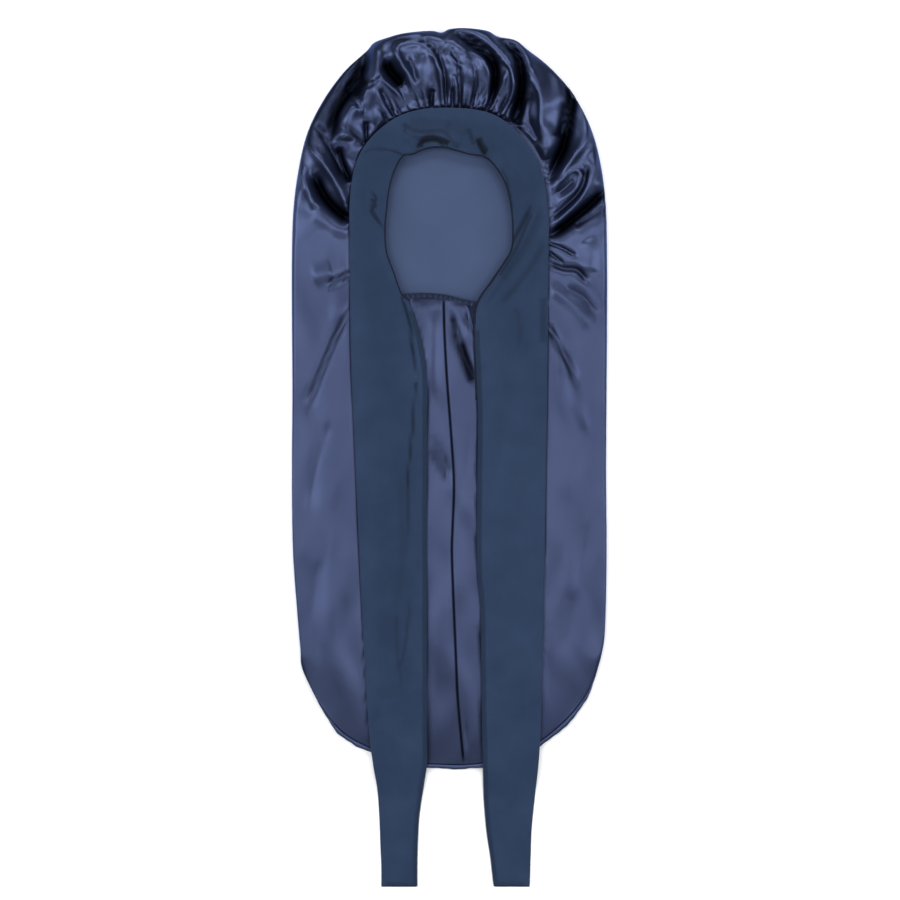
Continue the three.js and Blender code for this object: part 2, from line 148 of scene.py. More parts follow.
def rework(piece, change):
    """Change a piece's mesh with a function, then face it outwards and shade it smooth."""
    shell = bmesh.new()
    shell.from_mesh(piece.data)
    change(shell)
    bmesh.ops.recalc_face_normals(shell, faces=shell.faces)
    shell.to_mesh(piece.data)
    shell.free()
    piece.data.polygons.foreach_set("use_smooth", np.ones(len(piece.data.polygons), bool))


def wall(piece, thickness, lining=0):
    """Give a sheet its thickness, inwards; lining is the step to the inner face's material."""
    solid = piece.modifiers.new("thickness", "SOLIDIFY")
    solid.thickness = thickness * MM
    solid.offset = -1
    solid.material_offset = lining
    solid.use_even_offset = False


# %% [markdown]
# ## Satin, seen from outside and inside
#
# Satin is woven so that long floating threads lie side by side, and they mirror light like brushed
# metal: bright and broad along a fold, black where a fold turns away. A dark blue, mostly metallic
# surface with anisotropic roughness gives that better than a glossy plastic would. The back of the
# same cloth shows short threads, so it is matte and a little paler. Both also take painted shade:
# a value on the mesh's points darkens the colour in the deepest folds and beside edges and seams.

# %% Satin materials
def new_material(name):
    material = bpy.data.materials.new(name)
    material.use_nodes = True
    return material, material.node_tree.nodes, material.node_tree.links


def set_inputs(node, values):
    for name, value in values.items():
        node.inputs[name].default_value = value


def noise(nodes, links, vector, scale, detail=2.0):
    """A noise texture on a given vector, which returns its value socket."""
    texture = nodes.new("ShaderNodeTexNoise")
    set_inputs(texture, {"Scale": scale, "Detail": detail})
    links.new(vector, texture.inputs["Vector"])
    return texture.outputs["Fac"]


def blend_colours(nodes, links, factor, dark, light, low=0.3, high=0.7):
    """A ramp from dark to light over the factor's range from low to high."""
    ramp = nodes.new("ShaderNodeValToRGB")
    ramp.color_ramp.elements[0].position = low
    ramp.color_ramp.elements[0].color = (*dark, 1)
    ramp.color_ramp.elements[1].position = high
    ramp.color_ramp.elements[1].color = (*light, 1)
    links.new(factor, ramp.inputs["Fac"])
    return ramp.outputs["Color"]


def paint_shade(nodes, links, colour, depth=0.98):
    """Darken a colour with painted shade, in the hollows between folds where light would be lost from
    wall to wall and beside edges and seams: the colour times (1 - depth x painted shade)."""
    painted_shade = nodes.new("ShaderNodeAttribute")
    painted_shade.attribute_name = "painted_shade"
    keep = nodes.new("ShaderNodeMath")
    keep.operation = "MULTIPLY_ADD"
    links.new(painted_shade.outputs["Fac"], keep.inputs[0])
    keep.inputs[1].default_value = -depth
    keep.inputs[2].default_value = 1
    dim = nodes.new("ShaderNodeVectorMath")
    dim.operation = "SCALE"
    links.new(colour, dim.inputs[0])
    links.new(keep.outputs[0], dim.inputs["Scale"])
    return dim.outputs[0]


def bump(nodes, links, height, strength, distance):
    node = nodes.new("ShaderNodeBump")
    set_inputs(node, {"Strength": strength, "Distance": distance})
    links.new(height, node.inputs["Height"])
    return node.outputs["Normal"]


def satin_material(name, dark, light, metallic, roughness, anisotropic):
    """Object coordinates drive a soft random change of tone and a bump of fine threads along y; painted
    shade from the mesh's points then darkens the colour.
    """
    material, nodes, links = new_material(name)
    shader = nodes["Principled BSDF"]
    place = nodes.new("ShaderNodeTexCoord").outputs["Object"]
    shade = blend_colours(nodes, links, noise(nodes, links, place, 14), dark, light)
    links.new(paint_shade(nodes, links, shade), shader.inputs["Base Color"])
    threads = nodes.new("ShaderNodeTexWave")
    threads.bands_direction = "X"
    set_inputs(threads, {"Scale": 1100, "Distortion": 1.5})
    links.new(place, threads.inputs["Vector"])
    crinkle = noise(nodes, links, place, 260, 3)
    both = nodes.new("ShaderNodeMath")
    both.operation = "ADD"
    links.new(threads.outputs["Fac"], both.inputs[0])
    links.new(crinkle, both.inputs[1])
    links.new(bump(nodes, links, both.outputs[0], 0.12, 0.0004), shader.inputs["Normal"])
    set_inputs(shader, {
        "Metallic": metallic, "Roughness": roughness, "Anisotropic": anisotropic,
        "Specular IOR Level": 0.15, "Specular Tint": (0.45, 0.55, 1.0, 1),
    })
    return material


satin = satin_material("navy_satin", (0.036, 0.047, 0.098), (0.044, 0.057, 0.114), 0.9, 0.36, 0.3)
satin_inside = satin_material("satin_inside", (0.040, 0.057, 0.110), (0.046, 0.065, 0.124), 0.0, 0.7, 0.0)

# %% [markdown]
# ## The lie of the bag
#
# The bag is one length of satin that wraps round the sides and over the crown. Its sections run
# from the outline to the edge of the face opening, clockwise from the centre seam. Between the
# outline and the band the cloth stands up in a puff, highest over the crown, where the gathers
# hold the most cloth.

# %% Sections of the bag
# edge across, edge down, rim across, rim down, height of the outline, height of the puff
SECTIONS = np.array([
    (463, 765, 443.6, 298, 7.5, 10), (427, 764, 432, 296.5, 7.5, 10), (400, 759, 422, 295.5, 7.5, 10),
    (372, 749, 412, 295, 7.5, 10), (343, 733, 405, 295, 7.5, 10), (321, 707, 401, 293, 7.5, 10),
    (308, 683, 399.5, 290, 7, 10), (301, 666, 398.5, 287, 6, 10), (300, 650, 397, 284, 5, 10),
    (297, 615, 395, 279, 5, 11), (292.5, 550, 391.5, 267, 5, 11), (291.5, 470, 388, 257, 5, 11),
    (292, 390, 386, 246, 5, 12), (291.5, 320, 385, 235, 5, 13), (291.5, 260, 384.5, 224, 6, 16),
    (293, 212, 385, 212, 8, 20), (298, 172, 386.5, 200, 10, 25), (307, 134, 388, 189, 12, 29),
    (323, 101, 391, 177, 12, 32), (344, 72, 397, 165, 12, 34), (366, 52, 403, 156, 14, 36),
    (374, 43.5, 408, 154.5, 16, 36), (386, 39, 413, 153, 18, 37), (404, 34.2, 420, 151, 19, 38),
    (430, 31.8, 431, 147.5, 19, 39), (441.5, 33.4, 438, 147, 18, 38), (450, 30, 446, 148, 19, 39),
    (466, 29, 456, 150, 19, 39), (487, 31.8, 470, 153.5, 19, 39), (498, 37.6, 478, 156, 18, 38),
    (515, 41, 486, 159, 18, 37), (528, 51, 491, 162, 18, 36), (549, 67.5, 497, 168, 17, 35),
    (571, 92, 504, 178, 16, 32), (589, 124, 508, 189, 14, 29), (600, 160, 511, 201, 10, 25),
    (606, 205, 513, 216, 8, 20), (607.5, 260, 513.5, 231, 6, 16), (607.5, 320, 513, 245, 5, 13),
    (607, 390, 509, 258, 5, 12), (606.5, 470, 502, 269, 5, 11), (607, 550, 495, 280, 5, 11),
    (606, 615, 488, 289, 5, 11), (603, 650, 482, 297, 6, 10), (591, 687, 476, 303, 7, 10),
    (569, 717, 470, 302.5, 7.5, 10), (541, 741, 464, 301, 7.5, 10), (510, 756, 457, 299.5, 7.5, 10),
    (485, 763, 450, 298.5, 7.5, 10), (463, 765, 443.6, 298, 7.5, 10),
], float)
LAST = len(SECTIONS) - 1
CLOSED_RING = np.vstack([SECTIONS[-2], SECTIONS, SECTIONS[1]])  # one row more at each end
CROWN_FROM, CROWN_TO = 14, 38  # the sections that meet the gathers
ARCH_CENTRE = np.array([0.0, 250.0])
ARCH_HALF, ARCH_RISE, ARCH_POWER = 99.5, 101.0, 2.4  # folded edge of the band, as in the CAD
TUCK_NECK, TUCK_CROWN = 10.0, 13.0  # height of the satin under the ties and under the arch


# %% [markdown]
# ## Plan of the strip
#
# The band and its ties are one strip. The table follows it from the end of the left tie, up and
# round the face opening, to the end of the right tie. The satin's chart needs it too, because
# shade is painted on the cloth close beside it.

# %% Table of the strip
# outer edge across and down, inner edge across and down
BAND = np.array([
    (381, 888, 417, 888), (381, 868, 417, 868), (380, 845, 417.5, 845), (379, 818, 419, 818),
    (377, 790, 423, 790), (373, 765, 427, 762), (369, 730, 427, 730), (364, 650, 427, 650),
    (359.5, 560, 427, 560), (356, 480, 427, 480), (353.5, 420, 427, 420), (352, 390, 427.5, 394),
    (351, 362, 426, 366), (350.4, 335, 421.5, 340), (350.2, 314, 416, 321), (350, 296, 410, 303),
    (349.8, 278, 401, 294), (349.5, 258, 393, 272), (349.5, 235, 385.5, 250),
    (349.5, 207, 384.5, 226), (351, 187, 386, 210),
    (354.5, 168, 388, 192), (361, 152, 391.5, 177), (371, 138, 397, 164), (385, 125, 403.5, 155),
    (403, 114.5, 413, 153.5), (425, 109, 425, 148.5), (449, 108, 442, 146.5), (473, 109.5, 458, 150.5),
    (494, 115, 471, 154), (512, 127, 484, 156), (526, 142, 493, 163), (537, 160, 503, 177),
    (544, 180, 509, 193), (547.5, 203, 512.5, 212), (549, 225, 513.5, 230), (548.5, 245, 512.5, 249),
    (548.5, 265, 505, 263), (548.5, 285, 493, 281), (548, 305, 478.5, 303), (548, 330, 474.8, 330),
    (547.5, 370, 476.5, 370), (547, 420, 478, 420), (546, 470, 477.5, 470), (545, 560, 477, 560),
    (543.5, 620, 480.5, 610), (543, 650, 481, 650), (541, 720, 482, 720), (539, 760, 483, 768),
    (535, 800, 484, 800), (532, 830, 486.5, 830), (531, 858, 490.5, 858), (530, 888, 494, 888),
], float)
ARCH_ROWS = (16, 39)  # between these rows the strip bends round the opening


def half_width(x, y):
    """Half the width that the strip covers at a place of the plan: the arch's, narrowing down the
    ties as their outer edges do, with the left tie where x is below 0."""
    left, right = on_frame(BAND[:17, :2]), on_frame(BAND[39:, :2])[::-1]
    narrow = np.where(x < 0, -np.interp(y, *left.T[::-1]), np.interp(y, *right.T[::-1]))
    return np.where(y < 150, np.minimum(narrow, ARCH_HALF), ARCH_HALF)


def outside_band(x, y):
    """Distance outside the band's folded edge in plan: half its width times the superellipse
    measure less one, so it is 0 on the edge and negative under the band."""
    across = np.abs(x) / half_width(x, y)
    along = np.maximum(y - ARCH_CENTRE[1], 0) / ARCH_RISE
    return ARCH_HALF * ((across**ARCH_POWER + along**ARCH_POWER) ** (1 / ARCH_POWER) - 1)


def tuck_height(y):
    """Height of the satin under the strip, which rises from the neck's to the crown's."""
    return TUCK_NECK + (TUCK_CROWN - TUCK_NECK) * smoothstep(y, 180, 320)


# %% [markdown]
# ## Charted folds
#
# A fold is a rounded ridge or valley along a line. Each row below gives its line on the chart, its
# height in millimetres, where less than 0 is a valley, and its half width. Some rows end with how
# far the crest leans to the left of the line, so that a fold rolls over its neighbour as satin does.

# %% Folds of the satin
SATIN_FOLDS = [
    # the crown's left half, from the outline inwards
    ([(369, 49), (358, 74), (345, 96), (334, 116), (329, 142)], -12, 9),
    ([(364, 78), (353, 97)], -6, 9),
    ([(375, 41), (377, 62), (373, 83), (377, 105), (377, 138)], 6, 7.5, 1.5),
    ([(366, 90), (374, 84), (382, 79)], -1.4, 2),
    ([(374, 48), (369, 79), (363.5, 102), (362, 116)], 1.6, 2),
    ([(356, 104), (347, 120), (346, 142)], 5.4, 10),
    ([(385, 63), (392, 74), (402, 85)], -13, 6),
    ([(381, 80), (392, 89), (401, 98), (408, 110)], 2.4, 2.4),
    ([(380, 91), (388, 101), (394, 114)], -3, 2.4),
    ([(366, 122), (366, 132), (367, 145)], -5, 2.6),
    ([(417, 102), (411, 84), (402, 66), (396.5, 53), (402, 46), (413, 44.5), (425, 48.6), (433, 57),
      (438, 67), (441, 81), (442, 106)], 4.5, 3.8),
    ([(428, 46), (437, 55), (442.5, 67), (445.5, 82), (446, 106)], -4, 2.2),
    ([(422, 54), (423, 72), (424, 100)], 2.6, 6.5),
    ([(445, 50), (452, 60), (462, 69)], 2.2, 2.2),
    ([(409, 60), (413, 70), (417, 84)], -3, 2.4),
    ([(397, 37), (414, 37), (430, 40), (445, 44), (458, 49), (469, 62)], 2.6, 2.8),
    ([(392, 44), (404, 40.5), (418, 40.5), (432, 45), (448, 52), (461, 66)], -3.4, 2.2),
    ([(433, 90), (432, 98), (431, 107)], -5, 2.2),
    ([(338, 148), (343, 165), (350, 182)], -7, 4.2),
    ([(318, 126), (331, 150), (344, 176)], -5, 4.6),
    ([(308, 142), (320, 158), (334, 177), (345, 199), (349, 214)], 4.5, 4.6, -1),
    ([(300, 166), (307, 189), (317, 209)], 3.4, 4.4),
    ([(313, 172), (324, 195), (337, 210), (351, 220)], -9, 6.5),
    ([(312, 213), (331, 226), (349, 234)], 1.8, 6),
    ([(327, 286), (338, 280), (350, 273)], -4, 2.6),
    ([(313, 278), (332, 270)], 2.4, 7),
    ([(350, 308), (334, 340), (320, 374), (307, 407)], -3.4, 4),
    ([(340, 302), (322, 350), (300, 398)], 1.4, 7),
    ([(330, 423), (316, 468), (306, 520)], -1.6, 6),
    # the crown's right half
    ([(448, 106), (451, 89), (453, 78), (456, 90), (457, 106)], 1.8, 1.8),
    ([(452, 89), (452.4, 107)], -3, 1.7),
    ([(457.5, 60), (459.6, 85), (459.6, 108)], -3.6, 1.9),
    ([(466, 58), (467, 84), (466, 107)], 2.4, 5),
    ([(474, 64), (475.5, 86), (471, 108)], -3, 2),
    ([(478, 56), (486, 66), (489, 81), (486, 100), (480, 111)], 3, 2.8),
    ([(455, 34), (472, 42.5), (486, 54), (495, 69), (494.5, 86), (490, 106)], -12, 5),
    ([(488, 38), (499, 53), (510, 67), (515, 84), (513, 102), (506, 120)], 5.4, 3.8, -1.5),
    ([(507, 72), (497, 101), (489, 113)], 2.6, 2.4),
    ([(505, 43), (517, 55), (522, 74), (520, 100), (511, 122)], -13, 4.6),
    ([(522, 98), (518, 126)], -6, 6),
    ([(518, 46), (526, 62), (536, 82), (543, 103), (542, 123), (546, 143), (549, 164)], 5.6, 8, -1),
    ([(532, 94), (528, 116), (536, 140)], -2.5, 4),
    ([(525, 64), (540, 96), (541, 140)], 2.2, 3),
    ([(567, 68), (572, 94), (569, 122), (563, 148), (549, 176)], -13, 6.5),
    ([(566, 104), (560, 138)], -5, 6),
    ([(576, 98), (586, 120), (583, 142), (565, 167), (549, 190)], 4.4, 4.6, 1),
    ([(553, 191), (562, 180), (573, 171), (580, 175), (576, 189), (561, 200)], 2.2, 2.8),
    ([(557, 194), (566, 187), (573, 180)], -2.6, 2.2),
    ([(597, 152), (590, 175), (581, 199), (551, 229)], 4.4, 4.4),
    ([(586, 164), (584, 182), (574, 198), (552, 217)], -5, 3.4),
    ([(607, 188), (590, 205), (572, 220), (549, 237)], -10, 5.6),
    ([(606, 206), (590, 217), (574, 226)], -4, 6),
    ([(549, 243), (562, 248), (576, 256)], -3, 2.2),
    ([(549, 252), (563, 263)], -2.8, 2),
    ([(585, 240), (592, 254), (590, 272)], 2.2, 7),
    ([(550, 263), (564, 268), (577, 270), (588, 282)], -4, 3.6),
    ([(566, 288), (584, 298), (598, 318)], -2.6, 5),
    ([(550, 288), (572, 302), (590, 326)], 2.2, 6),
    ([(548, 325), (562, 350), (577, 381)], -3.6, 3.6),
    ([(556, 336), (572, 388), (588, 432)], 1.6, 6),
    # the centre panel between the ties
    ([(434, 318), (433, 356), (436, 394)], -2.6, 7),
    ([(418, 305), (432, 307), (442, 306)], 1.4, 5),
    ([(430, 442), (440, 458), (452, 478)], -2.4, 6),
    ([(451, 315), (459, 343), (466, 362), (475, 382)], -3.6, 4),
    ([(469, 324), (472, 340)], 1.6, 5),
    ([(461, 317), (470, 312), (478, 306)], -2.2, 2),
    ([(470, 420), (466, 470), (470, 520)], 1.2, 7),
    ([(436, 560), (440, 620), (438, 690)], 1, 7),
    ([(448, 748), (449, 763)], -1.8, 2),
    ([(466, 728), (467, 744)], -1.6, 2),
    ([(473.5, 748), (475, 760)], -1.8, 1.8),
    # faint drags on the long smooth sides
    ([(318, 560), (312, 610), (322, 664)], -1.4, 8),
    ([(334, 520), (330, 600), (344, 690)], 1, 8),
    ([(590, 520), (578, 590), (560, 660)], -1.2, 9),
    ([(566, 470), (572, 540), (566, 600)], 1, 8),
]


def fold_sum(points, folds, fades=0.2):
    """Height and sideways lean that the folds give at frame points in millimetres. Across a ridge
    the height falls off as exp(-(distance / half width)^2), so its top is round. Across a valley it
    is (1 - distance / 2.2 half widths)^2, a sharp crease between two round flanks. A share of
    each end fades. The third result is painted shade, which a valley raises with its depth."""
    height, painted_shade = np.zeros(len(points)), np.zeros(len(points))
    shift = np.zeros((len(points), 2))
    for chart_line, rise, half, *lean in folds:
        line = through(on_frame(chart_line), np.linspace(0, len(chart_line) - 1, 8 * len(chart_line)))
        near = np.all((points > line.min(0) - 4 * half) & (points < line.max(0) + 4 * half), axis=1)
        near = np.flatnonzero(near)
        start, step = line[:-1], np.diff(line, axis=0)
        to = points[near, None] - start
        share = np.clip((to * step).sum(-1) / (step**2).sum(-1), 0, 1)
        gap = to - share[..., None] * step
        distance = np.hypot(gap[..., 0], gap[..., 1])
        best = distance.argmin(1)
        rows = np.arange(len(near))
        along = (best + share[rows, best]) / len(step)
        fade = smoothstep(along, -0.4 * fades, fades) * smoothstep(1 - along, -0.4 * fades, fades)
        away = distance[rows, best] / half
        crease = (1 - np.clip(away / 2.2, 0, 1)) ** 2
        profile = (np.exp(-(away**2)) if rise > 0 else crease) * fade
        height[near] += rise * profile
        if rise < 0:
            shut = min(-rise / 8, 1) * smoothstep(-away, -1.6, -0.3) * fade
            painted_shade[near] = np.maximum(painted_shade[near], shut)
        if lean:
            across = np.stack([-step[best, 1], step[best, 0]], -1)
            sideways = lean[0] * profile[:, None] * across
            shift[near] += sideways / np.linalg.norm(across, axis=1)[:, None]
    return height, shift, painted_shade


# %% [markdown]
# ## Gathers at the band
#
# Where the satin comes out from under the arch it is pleated by hand into uneven gathers. Their
# valleys are charted along the band's edge, each with the length it keeps before it fades and its
# depth. Between two valleys the cloth stands in a rounded rib.

# %% Gathers of the satin
# across and down at the band's edge, length, depth
GATHERS = np.array([
    (351, 205, 10, 1), (353, 176, 20, 2), (357, 163, 14, 1.2), (366, 146, 30, 3.5), (377, 130, 12, 1.2),
    (386, 119, 24, 3), (393, 114.5, 28, 4), (399, 112, 24, 3), (408, 110, 28, 3), (418.8, 109, 20, 3),
    (424, 108, 18, 2.5), (431.5, 108, 20, 4), (440.5, 108, 24, 3), (446, 108, 24, 4), (452, 108, 16, 3),
    (460, 108, 30, 4), (466, 108.5, 14, 2), (471, 109, 32, 4), (476, 109, 20, 3), (480.6, 110, 22, 3),
    (486, 112, 32, 5), (491.5, 114, 24, 4), (497, 117, 26, 4), (503, 120, 28, 4), (510, 125, 26, 4),
    (520, 136, 12, 1.5), (530, 148, 10, 1.2), (539, 164, 16, 2), (545, 180, 14, 2), (549, 207, 10, 1.2),
    (549.5, 222, 8, 1),
], float)


def gather_height(x, y):
    """Ribs that leave the band: each valley's angle round the arch counts a whole rib, and across a
    rib the height is the root of half a sine wave, so valleys are sharp and ribs are round. Returns
    the height and the painted shade in the valleys between ribs."""
    edge = on_frame(GATHERS[:, :2]) - ARCH_CENTRE
    valleys = np.unwrap(np.arctan2(edge[:, 1], -edge[:, 0]))
    turn = np.arctan2(y - ARCH_CENTRE[1], -x)
    rib = np.interp(turn, valleys, np.arange(len(valleys)), left=np.nan, right=np.nan)
    reach = np.interp(turn, valleys, GATHERS[:, 2])
    depth = np.interp(turn, valleys, GATHERS[:, 3])
    out = outside_band(x, y)
    arc = np.abs(np.sin(np.pi * rib))
    rise = smoothstep(out, -1, 3) * (1 - smoothstep(out, reach * 0.25, reach * 1.3))
    shut = np.minimum(depth / 4, 1) * (1 - arc) ** 2 * rise
    return np.nan_to_num(depth * (arc**0.7 - 0.75) * rise), np.nan_to_num(shut)


# %% [markdown]
# ## The bag as one sheet
#
# The front, the fold round the outline and the back are one grid: from the edge of the opening
# outwards over the puff, round the outline, and back under to a line down the middle. Making it as
# one sheet keeps the side folds free of the seam that two pieces would show.

# %% Bag surface
UNDER_ROWS, FREE_ROWS, ROLL_ROWS, TURN_ROWS, BACK_ROWS = 8, 48, 8, 4, 3
SIDE_ROLL, CROWN_ROLL, SEAM_ROLL = 5.0, 26.0, 60.0
SPINE_STEP = 12.0  # between points of the line down the middle of the back
SATIN_WALL = 0.8
WELD = 0.02  # points nearer than this become one
UNDER_TIES = 0.9  # share of the way in where a column lies inside the ties
TIES_Y = 165  # below this the panel lies between the ties
PANEL_SHADE, SIDE_SHADE = 0.27, 0.2  # least painted shade between the ties and on the flat sides
FIRST_STEP = 3.0  # quick rise beside the arch, where the gathers are sewn
PUFF_REACH = 42  # outside the band's edge, where the puff is full
LOWEST_FRONT = 2
SOFT_WAVES = [(61, 190, 0.4, 0.6), (37, 120, 1.9, 0.34), (23, 90, 4.1, 0.12)]
CROWN_WAVES = [(31, 43, 0.9, 0.5)]
CENTRE_SEAM = [(443.6, 299), (444.5, 334), (447, 380), (451.6, 441), (454, 485), (452.5, 530),
               (452, 560), (456, 660), (458, 702), (463.7, 764)]
NECK = [(402, 297), (408, 296.5), (420, 295.6), (434, 296), (446, 297.4), (458, 300.4),
        (470, 303.4), (478, 305)]
PUFF_SHARE = 0.6  # of the charted puff above the neck's height


def column_places():
    """Places along the section table, about 1.15 mm apart at the crown, under 1 mm beside the centre
    seam, 2.4 mm where the ties' edges cross the lower sides, and 4 mm elsewhere."""
    edge = np.linalg.norm(np.diff(SECTIONS[:, :2], axis=0), axis=1)
    rim = np.linalg.norm(np.diff(SECTIONS[:, 2:4], axis=0), axis=1)
    at = np.arange(len(edge))
    spacing = np.where((at >= CROWN_FROM) & (at < CROWN_TO), 1.15, 4.0)
    spacing[(at >= 2) & (at <= 8) | (at >= 42) & (at <= 46)] = 2.4
    counts = np.maximum(np.round((edge + rim) / 2 / spacing), 3).astype(int)
    coarse = np.concatenate([i + np.arange(n) / n for i, n in enumerate(counts)])
    beside_seam = np.arange(0, 0.32, 0.022)
    away = (coarse > 0.33) & (coarse < LAST - 0.33)
    return np.concatenate([beside_seam, coarse[away], LAST - beside_seam[:0:-1]])


def share_at_band(edge, rim):
    """The share of the way in at which each column is 2 mm under the band, by halving, and near the
    opening where a column lies wholly inside the ties; smoothed along the columns."""
    free, covered = np.zeros(len(edge)), np.ones(len(edge))
    for _ in range(14):
        middle = (free + covered) / 2
        at = edge + (rim - edge) * middle[:, None]
        outside = outside_band(at[:, 0], at[:, 1]) > -2
        free, covered = np.where(outside, middle, free), np.where(outside, covered, middle)
    share = np.where(outside_band(edge[:, 0], edge[:, 1]) > 12, covered, UNDER_TIES)
    kernel = np.hanning(11)
    padded = np.concatenate([share[-5:], share, share[:5]])
    return np.convolve(padded, kernel / kernel.sum(), "valid")


# painted shade beside the strip's edges and along the seams: line, strength, half width
EDGE_SHADES = [
    (BAND[6:17, :2], 0.8, 1.6), (BAND[16:40, :2], 0.75, 1.5), (BAND[39:45, :2], 0.8, 1.6),
    (BAND[2:8, :2], 0.5, 2.6), (BAND[44:-2, :2], 0.5, 2.6), (BAND[26:38, :2], 0.6, 3.2),
    (BAND[1:16, 2:], 0.7, 1.3), (BAND[40:-1, 2:], 0.9, 1.8),
    (np.array(CENTRE_SEAM), 0.98, 1.7),
    ([(402, 299.5), (420, 298.4), (434, 298.8), (446, 300.2), (458, 303.2), (470, 306),
      (478, 308)], 0.75, 1.8),
    # painted deep shade in the crown's and the panel's deepest fold hollows
    ([(352, 60), (338, 80), (326, 100), (317, 124), (312, 152)], 0.55, 7),
    ([(339, 88), (330, 104), (326, 122)], 0.6, 4.5),
    ([(389, 66), (396, 78), (403, 88)], 0.9, 4.5),
    ([(452, 316), (455, 332), (460, 346), (465, 358)], 0.85, 3.6),
    ([(461, 344), (465, 356), (469, 368), (473, 382)], 0.93, 6.0),
    ([(462, 318), (470, 313), (477, 309)], 0.9, 1.8),
    ([(431, 449), (439, 460), (448, 474)], 0.6, 8.0),
]


def near_lines(points, lines):
    """How near points lie to a few chart lines, each (line, strength, half width): the strength on
    the line, and 0 from twice the half width."""
    found = np.zeros(len(points))
    for line, strength, half in lines:
        _, _, on_line = fold_sum(points, [(line, -8, half)], fades=0.02)
        found = np.maximum(found, strength * on_line)
    return found


def front_height(x, y, loft):
    """Puff between the outline and the band, plus gathers, charted folds and soft waves. Returns the
    height, how far folds lean, and the painted shade."""
    out = outside_band(x, y)
    puff = TUCK_NECK + PUFF_SHARE * (loft - TUCK_NECK)
    step = FIRST_STEP * smoothstep(out, -2, 3) * smoothstep(y, 285, 325)
    base = tuck_height(y) + step + (puff - tuck_height(y) - step) * smoothstep(out, 0, PUFF_REACH)
    plan = np.stack([x.ravel(), y.ravel()], -1)
    folds, lean, painted_shade = fold_sum(plan, SATIN_FOLDS)
    ribs, shade_between_ribs = gather_height(x, y)
    # painted shade from EDGE_SHADES, with a floor of it on the flat sides and between the ties
    painted_shade = np.maximum(painted_shade, near_lines(plan, EDGE_SHADES)).reshape(x.shape)
    between_ties = (np.abs(x) < 60) & (y < TIES_Y)
    flat = SIDE_SHADE * (1 - smoothstep(y, 150, 250))
    painted_shade = np.maximum(painted_shade, np.where(between_ties, PANEL_SHADE, flat))
    crown = smoothstep(y, 170, 260) * smoothstep(out, 0, 10)
    uneven = ripple(x, y, SOFT_WAVES) + crown * ripple(x, y, CROWN_WAVES)
    free = smoothstep(out, -2, 5)
    panel = (np.abs(x) < 40) & (y < TIES_Y)
    folds = folds.reshape(x.shape)
    to_band = np.where(folds < 0, smoothstep(out, -8, -1), free)  # valleys run on under the band
    relief = folds * np.where(panel, 1, to_band) + ribs
    relief = relief + uneven * np.where(panel, 1, free)
    return base, relief, lean.reshape(*x.shape, 2), np.maximum(painted_shade, shade_between_ribs)


def bag_points():
    """The bag's grid and its painted shade. Along a section the front is straight in plan from the
    outline to the opening. Over the rounding's share s of its width, its height rises as
    sqrt(1 - (1 - s)^2), or as sin(pi s / 2) at the bottom seam."""
    places = column_places()
    edge_x, edge_y, rim_x, rim_y, up, loft = through(CLOSED_RING, places + 1).T
    edge, rim = on_frame(np.stack([edge_x, edge_y], -1)), on_frame(np.stack([rim_x, rim_y], -1))
    length = np.linalg.norm(edge - rim, axis=1)
    at_seam = smoothstep(-edge[:, 1], 195, 250)
    width = SIDE_ROLL + (CROWN_ROLL - SIDE_ROLL) * smoothstep(up, 7.5, 12)
    width = width + (SEAM_ROLL - width) * at_seam
    roll = width / length
    band = share_at_band(edge, rim)
    inward = 1 - np.sin(np.pi / 2 * np.linspace(0, 1, ROLL_ROWS + 1))
    free = np.linspace(0, 1, FREE_ROWS + 1)[:-1] ** 1.3
    shares = np.concatenate([
        1 + (band - 1)[:, None] * np.linspace(0, 1, UNDER_ROWS + 1)[:-1] ** 1.7,
        band[:, None] + (roll - band)[:, None] * free,
        roll[:, None] * inward,
    ], axis=1)
    x = edge[:, :1] + (rim - edge)[:, :1] * shares
    y = edge[:, 1:] + (rim - edge)[:, 1:] * shares
    base, relief, lean, painted_shade = front_height(x, y, loft[:, None])
    in_roll = np.clip(shares / roll[:, None], 0, 1)
    rounded = np.sqrt(1 - (1 - in_roll) ** 2)
    gentle = np.sin(np.pi / 2 * in_roll)
    turn = rounded + (gentle - rounded) * at_seam[:, None]
    z = up[:, None] + (base - up[:, None]) * turn + relief * turn**0.5
    z = np.maximum(z, LOWEST_FRONT)
    front = np.stack([x + lean[..., 0] * turn, y + lean[..., 1] * turn, z], -1)

    towards = (rim - edge) / length[:, None]
    under = np.pi / 2 * np.linspace(0, 1, TURN_ROWS + 1)[1:]
    tuck_in = width + (SIDE_ROLL - width) * at_seam
    tx = edge[:, None] + towards[:, None] * (tuck_in[:, None] * (1 - np.cos(under)))[..., None]
    tz = up[:, None] * (1 - np.sin(under))
    turned = np.concatenate([tx, tz[..., None]], -1)

    spine_y = np.interp(edge[:, 1], [-306, 430], [-204, 324])
    spine_y = np.round(spine_y / SPINE_STEP) * SPINE_STEP
    spine = np.stack([np.zeros(len(edge)), spine_y], -1)
    share = np.linspace(0, 1, BACK_ROWS + 1)[1:]
    flat = tx[:, -1:, :] + (spine[:, None] - tx[:, -1:, :]) * share[:, None]
    back = np.concatenate([flat, np.zeros(flat.shape[:2] + (1,))], -1)
    hidden = np.zeros((len(edge), TURN_ROWS + BACK_ROWS))
    return np.concatenate([front, turned, back], 1), np.concatenate([painted_shade, hidden], 1)


points, painted_shades = bag_points()
columns, rows = points.shape[:2]
bag = cloth_mesh(
    "satin_bag", points, grid_faces(columns, rows, ring=True), uv=points[..., :2] * MM,
    materials=(satin, satin_inside), painted_shade=painted_shades,
)
rework(bag, lambda shell: bmesh.ops.remove_doubles(shell, verts=shell.verts, dist=WELD * MM))
wall(bag, SATIN_WALL, lining=1)
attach(bag, "root")
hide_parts("bag_front", "bag_fold", "bag_back")

# %% [markdown]
# ## Stretch knit
#
# The band is a jersey knit: columns of stitches, the wales, run along the strip and take the light
# softly. It is matte, with a faint bloom where fibres stand up, so the shader is rough and has a
# little sheen, and its bump follows the strip's own UV map, which is measured in metres.

